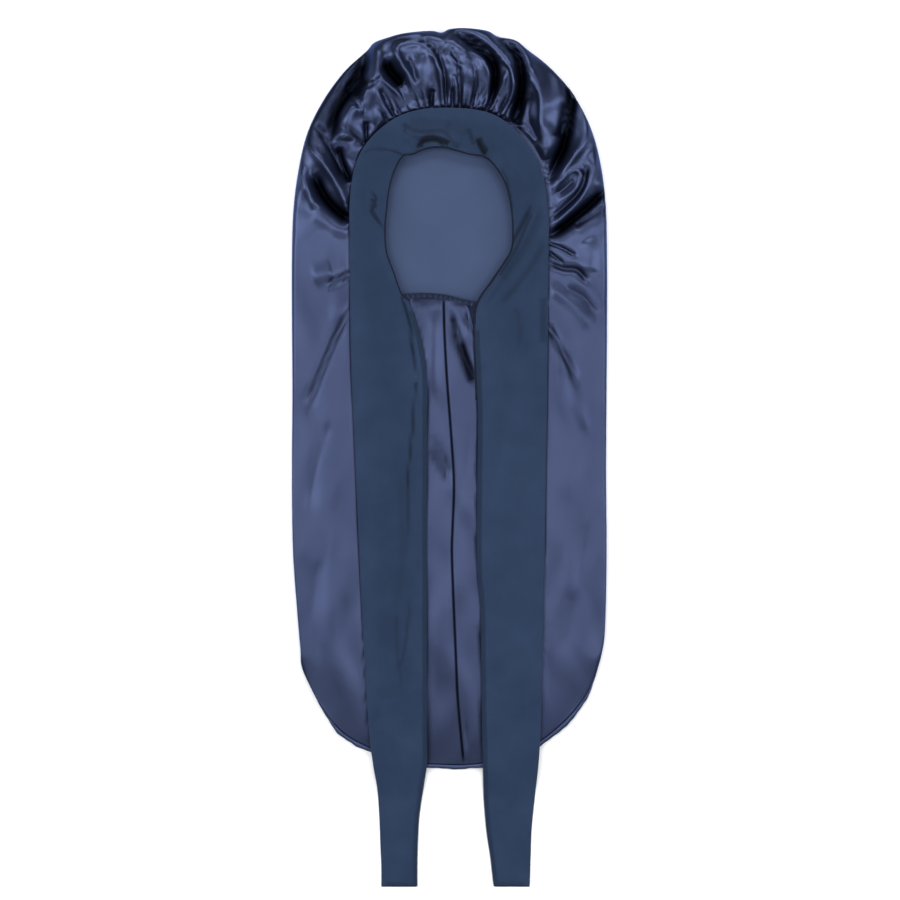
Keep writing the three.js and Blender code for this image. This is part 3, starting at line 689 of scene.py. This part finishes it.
# %% Knit and thread materials
def knit_material(name, dark, light):
    """Fine wales along the strip, crossed by fainter courses, over a soft random change of tone,
    darkened by painted shade from the mesh's points.
    """
    material, nodes, links = new_material(name)
    shader = nodes["Principled BSDF"]
    place = nodes.new("ShaderNodeTexCoord").outputs["Object"]
    shade = blend_colours(nodes, links, noise(nodes, links, place, 30, 4), dark, light)
    links.new(paint_shade(nodes, links, shade, 0.9), shader.inputs["Base Color"])
    strip = nodes.new("ShaderNodeUVMap")
    strip.uv_map = "cloth"
    relief = None
    for direction, scale, weight in (("Y", 340, 1.0), ("X", 420, 0.5)):
        lines = nodes.new("ShaderNodeTexWave")
        lines.bands_direction = direction
        set_inputs(lines, {"Scale": scale, "Distortion": 0.8})
        links.new(strip.outputs["UV"], lines.inputs["Vector"])
        share = nodes.new("ShaderNodeMath")
        share.operation = "MULTIPLY_ADD"
        links.new(lines.outputs["Fac"], share.inputs[0])
        share.inputs[1].default_value = weight
        if relief is None:
            share.inputs[2].default_value = 0
        else:
            links.new(relief, share.inputs[2])
        relief = share.outputs[0]
    links.new(bump(nodes, links, relief, 0.5, 0.0004), shader.inputs["Normal"])
    set_inputs(shader, {
        "Roughness": 0.85, "Specular IOR Level": 0.1, "Sheen Weight": 0.15,
        "Sheen Roughness": 0.5, "Sheen Tint": (0.45, 0.6, 1.0, 1),
    })
    return material


def thread_material(name, colour):
    material, nodes, links = new_material(name)
    shader = nodes["Principled BSDF"]
    place = nodes.new("ShaderNodeTexCoord").outputs["Object"]
    darker = tuple(0.7 * c for c in colour)
    shade = blend_colours(nodes, links, noise(nodes, links, place, 900), darker, colour)
    links.new(shade, shader.inputs["Base Color"])
    set_inputs(shader, {"Roughness": 0.65, "Specular IOR Level": 0.15})
    return material


knit = knit_material("band_knit", (0.016, 0.030, 0.064), (0.021, 0.038, 0.080))
thread = thread_material("overlock_thread", (0.019, 0.035, 0.075))
neck_thread = thread_material("neck_thread", (0.013, 0.021, 0.050))
neck_cloth = thread_material("neck_cloth", (0.032, 0.046, 0.100))
# near black: the seam's cord round the opening, also standing for painted shadow in the gap there
seam_cord_and_gap_shadow = thread_material("seam_cord_and_gap_shadow", (0.003, 0.006, 0.018))

# %% [markdown]
# ## The band and its ties
#
# The strip is folded double along its outer edge. Its section is a flat loop: round at the fold and
# thin at the sewn edge. It lies on the satin and drops to the surface past the bag.

# %% Band surface
KNIT_WALL = 2.4
LIFT = 0.3  # of the strip above the satin
LEAST_KNIT = 1.3  # thickness left under the deepest crease
FOLD_ROUND, HEM_ROUND = 1.6, 1.0  # plan width of the rounding at the fold and at the sewn edge
RELIEF = 1.3  # times the charted height of the strip's folds
TIE_DROP = (-345.0, -298.0)  # between these the ties come down from the bag
BAND_FOLDS = [
    ([(404, 124), (405, 129), (404, 134)], -2.2, 1.4),
    ([(408, 134), (420, 137), (434, 137.5), (448, 142)], 2.6, 2.6),
    ([(417, 149), (423, 142), (436, 140), (446, 146)], -4, 2.6),
    ([(403, 137), (411, 142), (417, 151)], 1.6, 3),
    ([(450, 118), (456, 130), (462, 146)], 1.4, 4),
    ([(466, 126), (469, 136), (468, 148)], 1.6, 3),
    ([(477, 138), (480, 146), (486, 156)], -4, 2.6),
    ([(488, 140), (490, 149), (490, 158)], 2.0, 2.8),
    ([(502, 128), (498, 138), (500, 150)], 1.2, 4),
    ([(360, 155), (372, 150), (385, 149), (402, 155), (421, 155.5)], -1.8, 1.3),
    ([(368, 160), (384, 156), (398, 161)], 1.0, 3.2),
    ([(370, 190), (376, 199), (372, 208), (376, 216), (385, 231)], -2.6, 1.6),
    ([(364, 194), (367, 208), (378, 228)], 1.2, 2.6),
    ([(379, 194), (380, 206), (384, 218)], 1.0, 2.0),
    ([(500, 168), (506, 178), (510, 196), (513, 210)], -2.0, 1.6),
    ([(504, 162), (516, 178), (520, 200)], 1.2, 3.4),
    ([(534, 170), (528, 190), (532, 208)], 1.0, 4),
    ([(538, 205), (530, 224), (513, 256), (497, 282), (482, 305)], 3.2, 3.6),
    ([(532, 204), (521, 226), (506, 252), (492, 272)], -2.6, 2.6),
    ([(544, 240), (534, 262), (516, 286), (500, 306)], -1.6, 4.0),
    ([(401, 297), (407, 315), (411, 332), (413, 354), (418, 378)], -2.6, 1.5),
    ([(416, 386), (412, 430), (407.5, 486), (409, 540)], -2.0, 1.4),
    ([(420, 420), (416, 470), (414, 540)], 0.8, 3.5),
    ([(410, 600), (406, 640), (399, 672)], -1.6, 1.8),
    ([(396, 610), (397, 645), (401, 690)], -1.4, 1.6),
    ([(400, 470), (403, 540), (397, 612)], -0.9, 4.5),
    ([(372, 585), (378, 660), (374, 724)], 0.6, 4.0),
    ([(498, 330), (503, 400), (499, 480)], 0.6, 6.0),
    ([(524, 520), (518, 600), (522, 700)], 0.6, 6.0),
    ([(396, 310), (400, 340), (409, 372)], 0.8, 4.0),
]
# painted shade on the strip under its ruffles and beside its longest fold: line, strength, half width
BAND_SHADES = [
    ([(420, 147), (423, 141), (432, 138.5), (441, 140), (449, 144)], 0.92, 3.2),
    ([(403, 124), (411, 129), (421, 132.5), (441, 131), (448, 135)], 0.5, 2.8),
    ([(449, 121), (447, 130), (451, 141), (459, 147)], 0.4, 3.0),
    ([(468, 129), (471, 137), (474, 145)], 0.5, 3.0),
    ([(480, 138), (482, 145), (487, 152)], 0.8, 2.4),
    ([(377, 151), (387, 150.5), (396, 152), (403, 155)], 0.55, 1.3),
    ([(371.6, 199), (375.6, 206), (371, 212), (380, 224)], 0.7, 1.4),
    ([(531, 214), (524, 231), (516, 249), (500, 276)], 0.55, 2.2),
    ([(541, 214), (531, 238), (519, 258), (503, 280)], 0.3, 5),
    (BAND[12:42, :2] * 0.5 + BAND[12:42, 2:] * 0.5, 0.17, 18),
    ([(390, 320), (392, 500), (395, 700)], 0.12, 20),
    ([(401.7, 296.4), (407, 315), (411, 332), (413, 354)], 0.85, 1.1),
    ([(415.8, 382), (412.5, 429), (409.5, 460), (406.8, 490)], 0.7, 1.2),
    ([(516, 308), (519.6, 326), (519, 345)], 0.35, 2.4),
    ([(543, 298), (543.5, 342)], 0.35, 3.6),
    ([(410, 124), (440, 125), (468, 131)], 0.3, 8),
    ([(384, 146), (396, 138), (404, 146)], 0.2, 5),
    ([(488, 138), (502, 150), (509, 168)], 0.2, 6),
]
# across, down, height, half width of the waves in which the arch stands off the opening
RUFFLES = [
    (424, 134, 4.5, 9), (454, 139, 2.5, 8), (482, 143, 4, 8), (510, 175, 2.5, 8),
    (390, 159, 2.5, 9), (372, 197, 2, 8), (526, 232, 2.5, 10),
]
BAND_WAVES = [(43, 61, 0.7, 0.3), (19, 47, 2.9, 0.16), (11, 13, 1.1, 0.06)]


def band_underside(x, y):
    """The satin's height under the strip, down to 0 past the bag, plus round swells at ruffles."""
    z = (tuck_height(y) + LIFT) * smoothstep(y, *TIE_DROP)
    for across, down, height, half in RUFFLES:
        rx, ry = on_frame((across, down))
        z = z + height * np.exp(-((x - rx) ** 2 + (y - ry) ** 2) / half**2)
    return z


def band_places():
    """Places along the strip, 1.4 mm apart round the arch and 3 mm apart down the ties."""
    middle = (BAND[:, :2] + BAND[:, 2:]) / 2
    step = np.linalg.norm(np.diff(middle, axis=0), axis=1)
    at = np.arange(len(step))
    spacing = np.where((at >= ARCH_ROWS[0]) & (at < ARCH_ROWS[1]), 1.4, 3.0)
    counts = np.maximum(np.round(step / spacing), 2).astype(int)
    stations = np.concatenate([i + np.arange(n) / n for i, n in enumerate(counts)])
    return np.append(stations, len(BAND) - 1)


def band_top(x, y, across):
    """Top of the strip at a share across it, 0 at the fold and 1 at the sewn edge: the knit's
    thickness, fuller beside the fold and pressed thin at the edge, with its charted folds. Also
    its painted shade: twice the folds' own, or that of BAND_SHADES where that is more."""
    plan = np.stack([x.ravel(), y.ravel()], -1)
    fuller = 0.5 * np.exp(-((across - 0.06) / 0.07) ** 2)
    full = KNIT_WALL + fuller - 0.7 * smoothstep(across, 0.9, 1.0)
    folds, _, painted_shade = fold_sum(plan, BAND_FOLDS)
    top = band_underside(x, y) + full + RELIEF * folds.reshape(x.shape) + ripple(x, y, BAND_WAVES)
    shade = near_lines(plan, BAND_SHADES)
    return top, np.maximum(np.minimum(2 * painted_shade, 1), shade).reshape(x.shape)


def band_points():
    """A loop across the strip at each place: over the top from the fold to the sewn edge, down it,
    back underneath and round the fold, with its UVs and its painted shade, 0 underneath."""
    places = band_places()
    edges = through(BAND, places)
    outer, inner = on_frame(edges[:, :2]), on_frame(edges[:, 2:])
    reach = inner - outer
    width = np.linalg.norm(reach, axis=1)[:, None]
    near_fold, near_hem = [0.0, 0.006, 0.022, 0.05], [0.965, 0.985, 0.997]
    share = np.concatenate([near_fold, np.linspace(0.09, 0.93, 22), near_hem])
    x = outer[:, :1] + reach[:, :1] * share
    y = outer[:, 1:] + reach[:, 1:] * share
    low = band_underside(x, y)
    high, painted_shade = band_top(x, y, np.broadcast_to(share, x.shape))
    high = np.maximum(high, low + LEAST_KNIT)
    fold = np.sqrt(1 - (1 - np.clip(share * width / FOLD_ROUND, 0, 1)) ** 2)
    hem = np.sqrt(1 - (1 - np.clip((1 - share) * width / HEM_ROUND, 0, 1)) ** 2)
    centre = (low + high) / 2
    half = np.maximum(high - low, 1.0) / 2 * fold * hem
    top = np.stack([x, y, centre + half], -1)
    under = np.stack([x, y, centre - half], -1)[:, ::-1]
    steps = np.linalg.norm(np.diff(outer + reach / 2, axis=0), axis=1)
    length = np.concatenate([[0], np.cumsum(steps)])
    along = np.broadcast_to(length[:, None], x.shape)
    uv = np.stack([along, share * width], -1)
    loop, below = np.concatenate([top, under[:, 1:-1]], 1), np.zeros_like(painted_shade)[:, 1:-1]
    return loop, np.concatenate([uv, uv[:, ::-1][:, 1:-1]], 1) * MM, np.concatenate([painted_shade, below], 1)


def closed_tube(name, points, uv=None, materials=(), painted_shade=None):
    """A tube from rings of points, closed at each end by a face across its ring."""
    stations, around = points.shape[:2]
    faces = grid_faces(stations, around, tube=True)
    piece = cloth_mesh(name, points, faces, uv, materials, painted_shade)

    def close(shell):
        shell.verts.ensure_lookup_table()
        for ring in (range(around), range((stations - 1) * around, stations * around)):
            shell.faces.new([shell.verts[i] for i in ring])

    rework(piece, close)
    return piece


band_grid, band_uv, band_painted_shades = band_points()
band = closed_tube("knit_band", band_grid, band_uv, (knit,), band_painted_shades)
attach(band, "root")
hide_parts("tie_band", "tie_end_left", "tie_end_right")

# %% [markdown]
# ## The seam inside the arch
#
# The strip's sewn edge and the satin's edge are joined all round the face opening. The seam rolls
# under a little, so from above only a thin cord of it shows along the opening. The cord is near
# black and wider at the lower right because it also stands for painted shadow in the gap between
# the band's edge and the inside of the bag.

# %% Seam round the opening
def inner_edge(first, last, count):
    """The strip's inner edge between two rows of its table, and the unit direction from it to the
    outer edge."""
    rows = through(BAND, np.linspace(first, last, count))
    outer, inner = on_frame(rows[:, :2]), on_frame(rows[:, 2:])
    return inner, unit(outer - inner)


rim_edge, over_strip = inner_edge(15.2, 41.6, 360)
rim_line = rim_edge - 0.5 * over_strip  # half a millimetre in towards the face
rim_share = np.linspace(0, 1, len(rim_line))
# wider at the lower right, where the cord also stands for the widest painted shadow in the gap
rim_thick = 0.75 + 0.75 * smoothstep(rim_share, 0.72, 0.86)  # it stands off most at the lower right
rim_side = outward(rim_line)
rim_turn = np.linspace(0, 2 * np.pi, 10, endpoint=False)
rim_z = band_underside(rim_line[:, 0], rim_line[:, 1]) + 0.5
rim_grid = np.concatenate([
    rim_line[:, None] + (rim_thick[:, None] * np.cos(rim_turn))[..., None] * rim_side[:, None],
    (rim_z[:, None] + 1.1 * np.sin(rim_turn))[..., None],
], -1)
opening_seam_and_shadow = closed_tube("opening_seam_and_shadow", rim_grid, materials=(seam_cord_and_gap_shadow,))
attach(opening_seam_and_shadow, "root")

# %% [markdown]
# ## Overlock stitches
#
# The raw edge of the ties is overlocked: a machine carries three threads over the edge and back, and
# leaves a row of slanting bars a few millimetres wide. The path of one thread is a repeating figure,
# so one array of the figure's points, repeated along the edge, gives the whole seam.

# %% Stitched edges
STITCH_PITCH, STITCH_REACH, THREAD = 2.3, 4.4, 0.33  # millimetres


def sweep(path, radius, sides=5):
    """A thin tube round a path: circles across its own direction, stood up by nearly the z axis."""
    ahead = unit(np.gradient(path, axis=0))
    beside = unit(np.cross(ahead, [0.12, 0.05, 1.0]))
    above = np.cross(beside, ahead)
    turn = np.linspace(0, 2 * np.pi, sides, endpoint=False)
    ring = beside[:, None] * np.cos(turn)[:, None] + above[:, None] * np.sin(turn)[:, None]
    return path[:, None] + radius * ring


def evenly(line, step):
    """Points a step apart along a line, and their running length."""
    length = np.concatenate([[0], np.cumsum(np.linalg.norm(np.diff(line[:, :2], axis=0), axis=1))])
    run = np.arange(0, length[-1], step)
    return np.stack([np.interp(run, length, line[:, k]) for k in range(line.shape[1])], -1), run


def overlock(edge, inward, top_height, low_height):
    """Three threads over an edge. Along each stitch one thread goes in over the cloth, dips at the
    needle line and comes back out over the edge; a second wraps the edge; a third runs straight
    along the needle line. edge and inward are plan points and unit directions."""
    line, run = evenly(np.concatenate([edge, inward], 1), STITCH_PITCH / 12)
    at, towards = line[:, :2], unit(line[:, 2:])
    beat = run / STITCH_PITCH
    paths = []
    for phase, reach in ((0.0, STITCH_REACH), (0.5, STITCH_REACH * 0.55)):
        swing = 0.5 - 0.5 * np.cos(2 * np.pi * (beat + phase))
        depth = reach * swing - 0.5 * (1 - swing) ** 3
        plan = at + towards * depth[:, None]
        lift = THREAD * (0.4 + 1.3 * np.sin(np.pi * np.clip(swing, 0, 1)) ** 0.7)
        z = top_height(plan) + lift
        under = low_height(plan) + 0.5
        over_edge = np.clip(-depth / 0.5, 0, 1)
        height = z * (1 - over_edge * 0.8) + under * over_edge * 0.8
        paths.append((np.column_stack([plan, height]), THREAD))
    plan = at + towards * (STITCH_REACH + 0.1)
    dash = THREAD * (0.55 + 0.5 * np.cos(2 * np.pi * beat))
    paths.append((np.column_stack([plan, top_height(plan) + dash - 0.1]), THREAD * 0.9))
    return paths


def threads_piece(name, paths, material):
    """All the thread tubes of one seam in a single mesh."""
    points, faces, first = [], [], 0
    for path, radius in paths:
        tube = sweep(path[::2], radius)
        faces.append(grid_faces(*tube.shape[:2], tube=True) + first)
        points.append(tube.reshape(-1, 3))
        first += tube.shape[0] * tube.shape[1]
    piece = cloth_mesh(name, np.concatenate(points), np.concatenate(faces), materials=(material,))

    def close(shell):
        bmesh.ops.holes_fill(shell, edges=[e for e in shell.edges if e.is_boundary], sides=8)

    rework(piece, close)
    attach(piece, "root")
    return piece


def strip_height(plan):
    """Top of the strip near its sewn edge, where its knit is pressed thin."""
    return band_top(plan[:, 0], plan[:, 1], np.full(len(plan), 0.93))[0] - 0.1


def strip_low(plan):
    return band_underside(plan[:, 0], plan[:, 1])


END_POINTS = 60
up_strip = np.tile([0.0, 1.0], (END_POINTS, 1))
sewn_edges = [inner_edge(0, 14.5, 400), inner_edge(40.0, len(BAND) - 1, 400)]
for row, inset in ((0, [1, 0]), (-1, [-1, 0])):
    start, stop = on_frame(BAND[row, :2]) + inset, on_frame(BAND[row, 2:]) - inset
    sewn_edges.append((np.linspace(start, stop, END_POINTS), up_strip))
tie_stitches = []
for edge, towards in sewn_edges:
    tie_stitches += overlock(edge, towards, strip_height, strip_low)
tie_threads = threads_piece("tie_overlock", tie_stitches, thread)

# %% [markdown]
# ## The neck edge and the bottom seam
#
# Across the bottom of the face opening the satin's own edge is overlocked and draws up a little.
# Across the bottom of the bag the two layers are joined by a seam that was turned inside, which
# leaves a soft lip of satin. Both are ovals carried along a path, with small even puckers.

# %% Neck edge and bottom seam
def oval_along(path, across, half_width, half_height, sides=14):
    """Ovals across a path: half_width along the plan direction across, half_height along z."""
    turn = np.linspace(0, 2 * np.pi, sides, endpoint=False)
    out = np.concatenate([across, np.zeros((len(across), 1))], 1)
    width = (half_width[:, None] * np.cos(turn))[..., None] * out[:, None]
    height = (half_height[:, None] * np.sin(turn))[..., None] * np.array([0.0, 0.0, 1.0])
    return path[:, None] + width + height


neck_line, neck_run = evenly(on_frame(through(NECK, np.linspace(0, len(NECK) - 1, 200))), 0.6)
neck_side = outward(neck_line)
pucker = np.sin(neck_run * 2 * np.pi / 5.3 + np.sin(neck_run / 7.1))
neck_path = np.column_stack([neck_line, tuck_height(neck_line[:, 1]) - 0.6 + 0.35 * pucker])
neck_oval = oval_along(neck_path, neck_side, 2.5 + 0.25 * pucker, 1.1 + 0.15 * pucker)
neck = closed_tube("neck_hem", neck_oval, materials=(neck_cloth,))
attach(neck, "root")
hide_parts("neck_edge")


def neck_top(plan):
    return np.full(len(plan), TUCK_NECK + 0.45)


def neck_low(plan):
    return np.full(len(plan), TUCK_NECK - 1.6)


neck_paths = overlock(neck_line + 2.4 * neck_side, -neck_side, neck_top, neck_low)
neck_stitches = threads_piece("neck_overlock", neck_paths, neck_thread)

SEAM_PLACES = np.linspace(LAST - 5.6, LAST + 5.6, 600)
around = np.where(SEAM_PLACES > LAST, SEAM_PLACES - LAST, SEAM_PLACES)
seam_edge, seam_run = evenly(on_frame(through(CLOSED_RING, around + 1)[:, :2]), 0.9)
seam_out = outward(seam_edge)
taper = smoothstep(np.minimum(seam_run, seam_run[-1] - seam_run), 0, 60)
wavy = np.sin(seam_run * 2 * np.pi / 31 + 1.5 * np.sin(seam_run / 23))
wavy = wavy + 0.4 * np.sin(seam_run * 2 * np.pi / 11)
half_lip = (2.7 + 0.22 * wavy) * (0.12 + 0.88 * taper)
lip_height = (1.5 + 0.15 * wavy) * (0.2 + 0.8 * taper)
lip_path = np.column_stack([seam_edge + seam_out * (half_lip - 0.6)[:, None], lip_height + 3.0])
lip = closed_tube("seam_lip", oval_along(lip_path, seam_out, half_lip, lip_height), materials=(satin,))
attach(lip, "root")
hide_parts("bottom_seam")

# %% [markdown]
# ## Stage
#
# A pale floor, a camera straight above, and broad soft lights.

# %% Stage, camera and lights
floor_mesh = bpy.data.meshes.new("floor")
floor_mesh.from_pydata([(-6, -6, 0), (6, -6, 0), (6, 6, 0), (-6, 6, 0)], [], [(0, 1, 2, 3)])
floor = bpy.data.objects.new("floor", floor_mesh)
bpy.context.scene.collection.objects.link(floor)
floor.location.z = -0.0002
pale, pale_nodes, _ = new_material("pale_floor")
set_inputs(pale_nodes["Principled BSDF"], {"Base Color": (0.96, 0.96, 0.965, 1), "Roughness": 0.9})
floor_mesh.materials.append(pale)

CAMERA_HEIGHT = 2.8
VIEW_WIDTH = 0.9  # metres of floor across the square picture
camera_data = bpy.data.cameras.new("camera")
camera_data.sensor_width = 36
camera_data.lens = 36 * (CAMERA_HEIGHT - 0.012) / VIEW_WIDTH
camera = bpy.data.objects.new("camera", camera_data)
camera.location = (0, 0.009, CAMERA_HEIGHT)
bpy.context.scene.collection.objects.link(camera)
bpy.context.scene.camera = camera


def soft_light(name, location, target, size, power):
    """A rectangular area light that faces a target."""
    data = bpy.data.lights.new(name, "AREA")
    data.shape = "RECTANGLE"
    data.size, data.size_y = size
    data.energy = power
    lamp = bpy.data.objects.new(name, data)
    lamp.location = location
    direction = np.array(target, float) - np.array(location, float)
    tilt = math.atan2(math.hypot(direction[0], direction[1]), -direction[2])
    lamp.rotation_euler = (tilt, 0, math.atan2(direction[1], direction[0]) - math.pi / 2)
    bpy.context.scene.collection.objects.link(lamp)


def radiance(level, size):
    """Watts that give an area light of this size a given radiance: level times pi times area."""
    return level * math.pi * size[0] * size[1]


for name, place, target, size, level in (
    ("overhead", (0, 0, 3.4), (0, 0, 0), (2.0, 3.6), 1.0),
    ("left", (-1.6, 0.2, 2.0), (0, 0, 0), (0.9, 2.6), 6.6),
    ("right", (1.7, 0.0, 1.9), (0, 0, 0), (0.8, 2.6), 6.4),
    ("crown", (0.1, 1.9, 2.0), (0, 0.1, 0), (2.0, 0.8), 7.0),
    ("foot", (-0.1, -1.9, 2.2), (0, 0, 0), (2.0, 0.8), 3.6),
):
    soft_light(name, place, target, size, radiance(level, size))

world = bpy.data.worlds.new("studio")
world.use_nodes = True
set_inputs(world.node_tree.nodes["Background"], {"Color": (0.4, 0.8, 1, 1), "Strength": 0.05})
bpy.context.scene.world = world
bpy.context.scene.view_settings.view_transform = "Standard"
